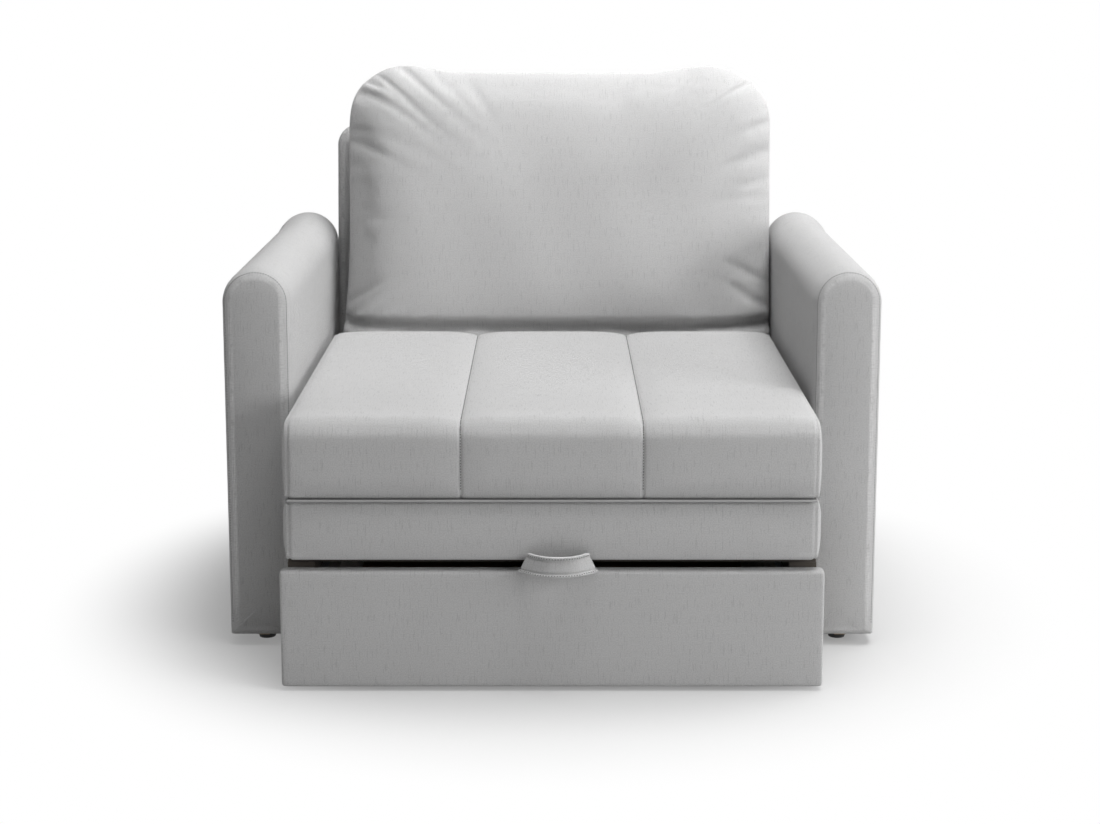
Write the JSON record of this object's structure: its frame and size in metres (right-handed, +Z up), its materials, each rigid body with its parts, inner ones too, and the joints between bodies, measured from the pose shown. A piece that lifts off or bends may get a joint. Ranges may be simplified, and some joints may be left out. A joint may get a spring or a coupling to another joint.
{
  "type": "convertible chair bed",
  "caption": "Fabric armchair with slab arms and a loose back cushion, whose seat folds out over a pull-out drawer to make a single bed.",
  "frame": {"origin": "on the floor, under the middle of the chair's outer box with the drawer closed", "axes": "+Z up, the chair's front towards -Y, +X towards the arm on the right of the picture"},
  "size_m": [1.016, 1.0314, 0.8781],
  "materials": {
    "arm_fabric": "woven light grey upholstery",
    "seat_fabric": "woven light grey upholstery",
    "hinge_fabric": "woven hinge tape",
    "chipboard": "raw chipboard",
    "plywood": "raw plywood",
    "timber": "planed softwood",
    "laminate": "pale grey laminated board",
    "hardboard": "smooth hardboard",
    "steel": "zinc plated",
    "runner_steel": "white-grey enamel",
    "runner_plastic": "pale moulded bar",
    "black_plastic": "moulded black",
    "wheel_rubber": "matt"
  },
  "bodies": {
    "carcass": {"arm_pad_left": "arm_fabric", "arm_board_left": "chipboard", "arm_bolts_left": "steel", "back_bolts_left": "steel", "side_rail_left": "timber", "rail_spacer_left": "timber", "runner_channel_left": "runner_steel", "arm_pad_right": "arm_fabric", "arm_board_right": "chipboard", "arm_bolts_right": "steel", "back_bolts_right": "steel", "side_rail_right": "timber", "rail_spacer_right": "timber", "runner_channel_right": "runner_steel", "arm_glides": "black_plastic", "seat_slats": "timber", "lower_section_pad": "seat_fabric", "lower_section_core": "plywood", "fold_hinge": "hinge_fabric", "back_pad": "arm_fabric", "back_board": "chipboard", "back_foot": "timber"},
    "upper_section": {"upper_section_pad": "seat_fabric", "upper_section_core": "plywood"},
    "drawer": {"drawer_side_left": "laminate", "runner_tongue_left": "runner_plastic", "drawer_side_right": "laminate", "runner_tongue_right": "runner_plastic", "drawer_front_board": "chipboard", "drawer_front_pad": "arm_fabric", "drawer_back": "laminate", "drawer_floor": "hardboard", "castor_fork_front_left": "black_plastic", "castor_axle_front_left": "steel", "castor_fork_rear_left": "black_plastic", "castor_axle_rear_left": "steel", "castor_fork_front_right": "black_plastic", "castor_axle_front_right": "steel", "castor_fork_rear_right": "black_plastic", "castor_axle_rear_right": "steel", "pull_strap": "seat_fabric"},
    "castor_wheel_front_left": {"castor_wheel_front_left": "wheel_rubber"},
    "castor_wheel_rear_left": {"castor_wheel_rear_left": "wheel_rubber"},
    "castor_wheel_front_right": {"castor_wheel_front_right": "wheel_rubber"},
    "castor_wheel_rear_right": {"castor_wheel_rear_right": "wheel_rubber"},
    "cushion": {"back_cushion": "seat_fabric"}
  },
  "joints": [
    {"name": "drawer_slide", "type": "slide", "parent": "carcass", "child": "drawer", "axis": [0, -1, 0], "range_m": [0, 0.758]},
    {"name": "seat_fold", "type": "hinge", "parent": "carcass", "child": "upper_section", "pos_m": [0, -0.48794, 0.29], "axis": [1, 0, 0], "range_deg": [0, 180]},
    {"name": "cushion_lift", "type": "slide", "parent": "carcass", "child": "cushion", "axis": [0, 0, 1], "range_m": [0, 0.62]},
    {"name": "wheel_spin_front_left", "type": "hinge", "parent": "drawer", "child": "castor_wheel_front_left", "pos_m": [-0.28, -0.39374, 0.02], "axis": [1, 0, 0], "continuous": true},
    {"name": "wheel_spin_rear_left", "type": "hinge", "parent": "drawer", "child": "castor_wheel_rear_left", "pos_m": [-0.28, 0.31626, 0.02], "axis": [1, 0, 0], "continuous": true},
    {"name": "wheel_spin_front_right", "type": "hinge", "parent": "drawer", "child": "castor_wheel_front_right", "pos_m": [0.28, -0.39374, 0.02], "axis": [1, 0, 0], "continuous": true},
    {"name": "wheel_spin_rear_right", "type": "hinge", "parent": "drawer", "child": "castor_wheel_rear_right", "pos_m": [0.28, 0.31626, 0.02], "axis": [1, 0, 0], "continuous": true}
  ],
  "couplings": [
    {"joint": "seat_fold", "follows": "drawer_slide", "rad_per_m": 4.1445},
    {"joint": "wheel_spin_front_left", "follows": "drawer_slide", "rad_per_m": 50},
    {"joint": "wheel_spin_rear_left", "follows": "drawer_slide", "rad_per_m": 50},
    {"joint": "wheel_spin_front_right", "follows": "drawer_slide", "rad_per_m": 50},
    {"joint": "wheel_spin_rear_right", "follows": "drawer_slide", "rad_per_m": 50}
  ]
}
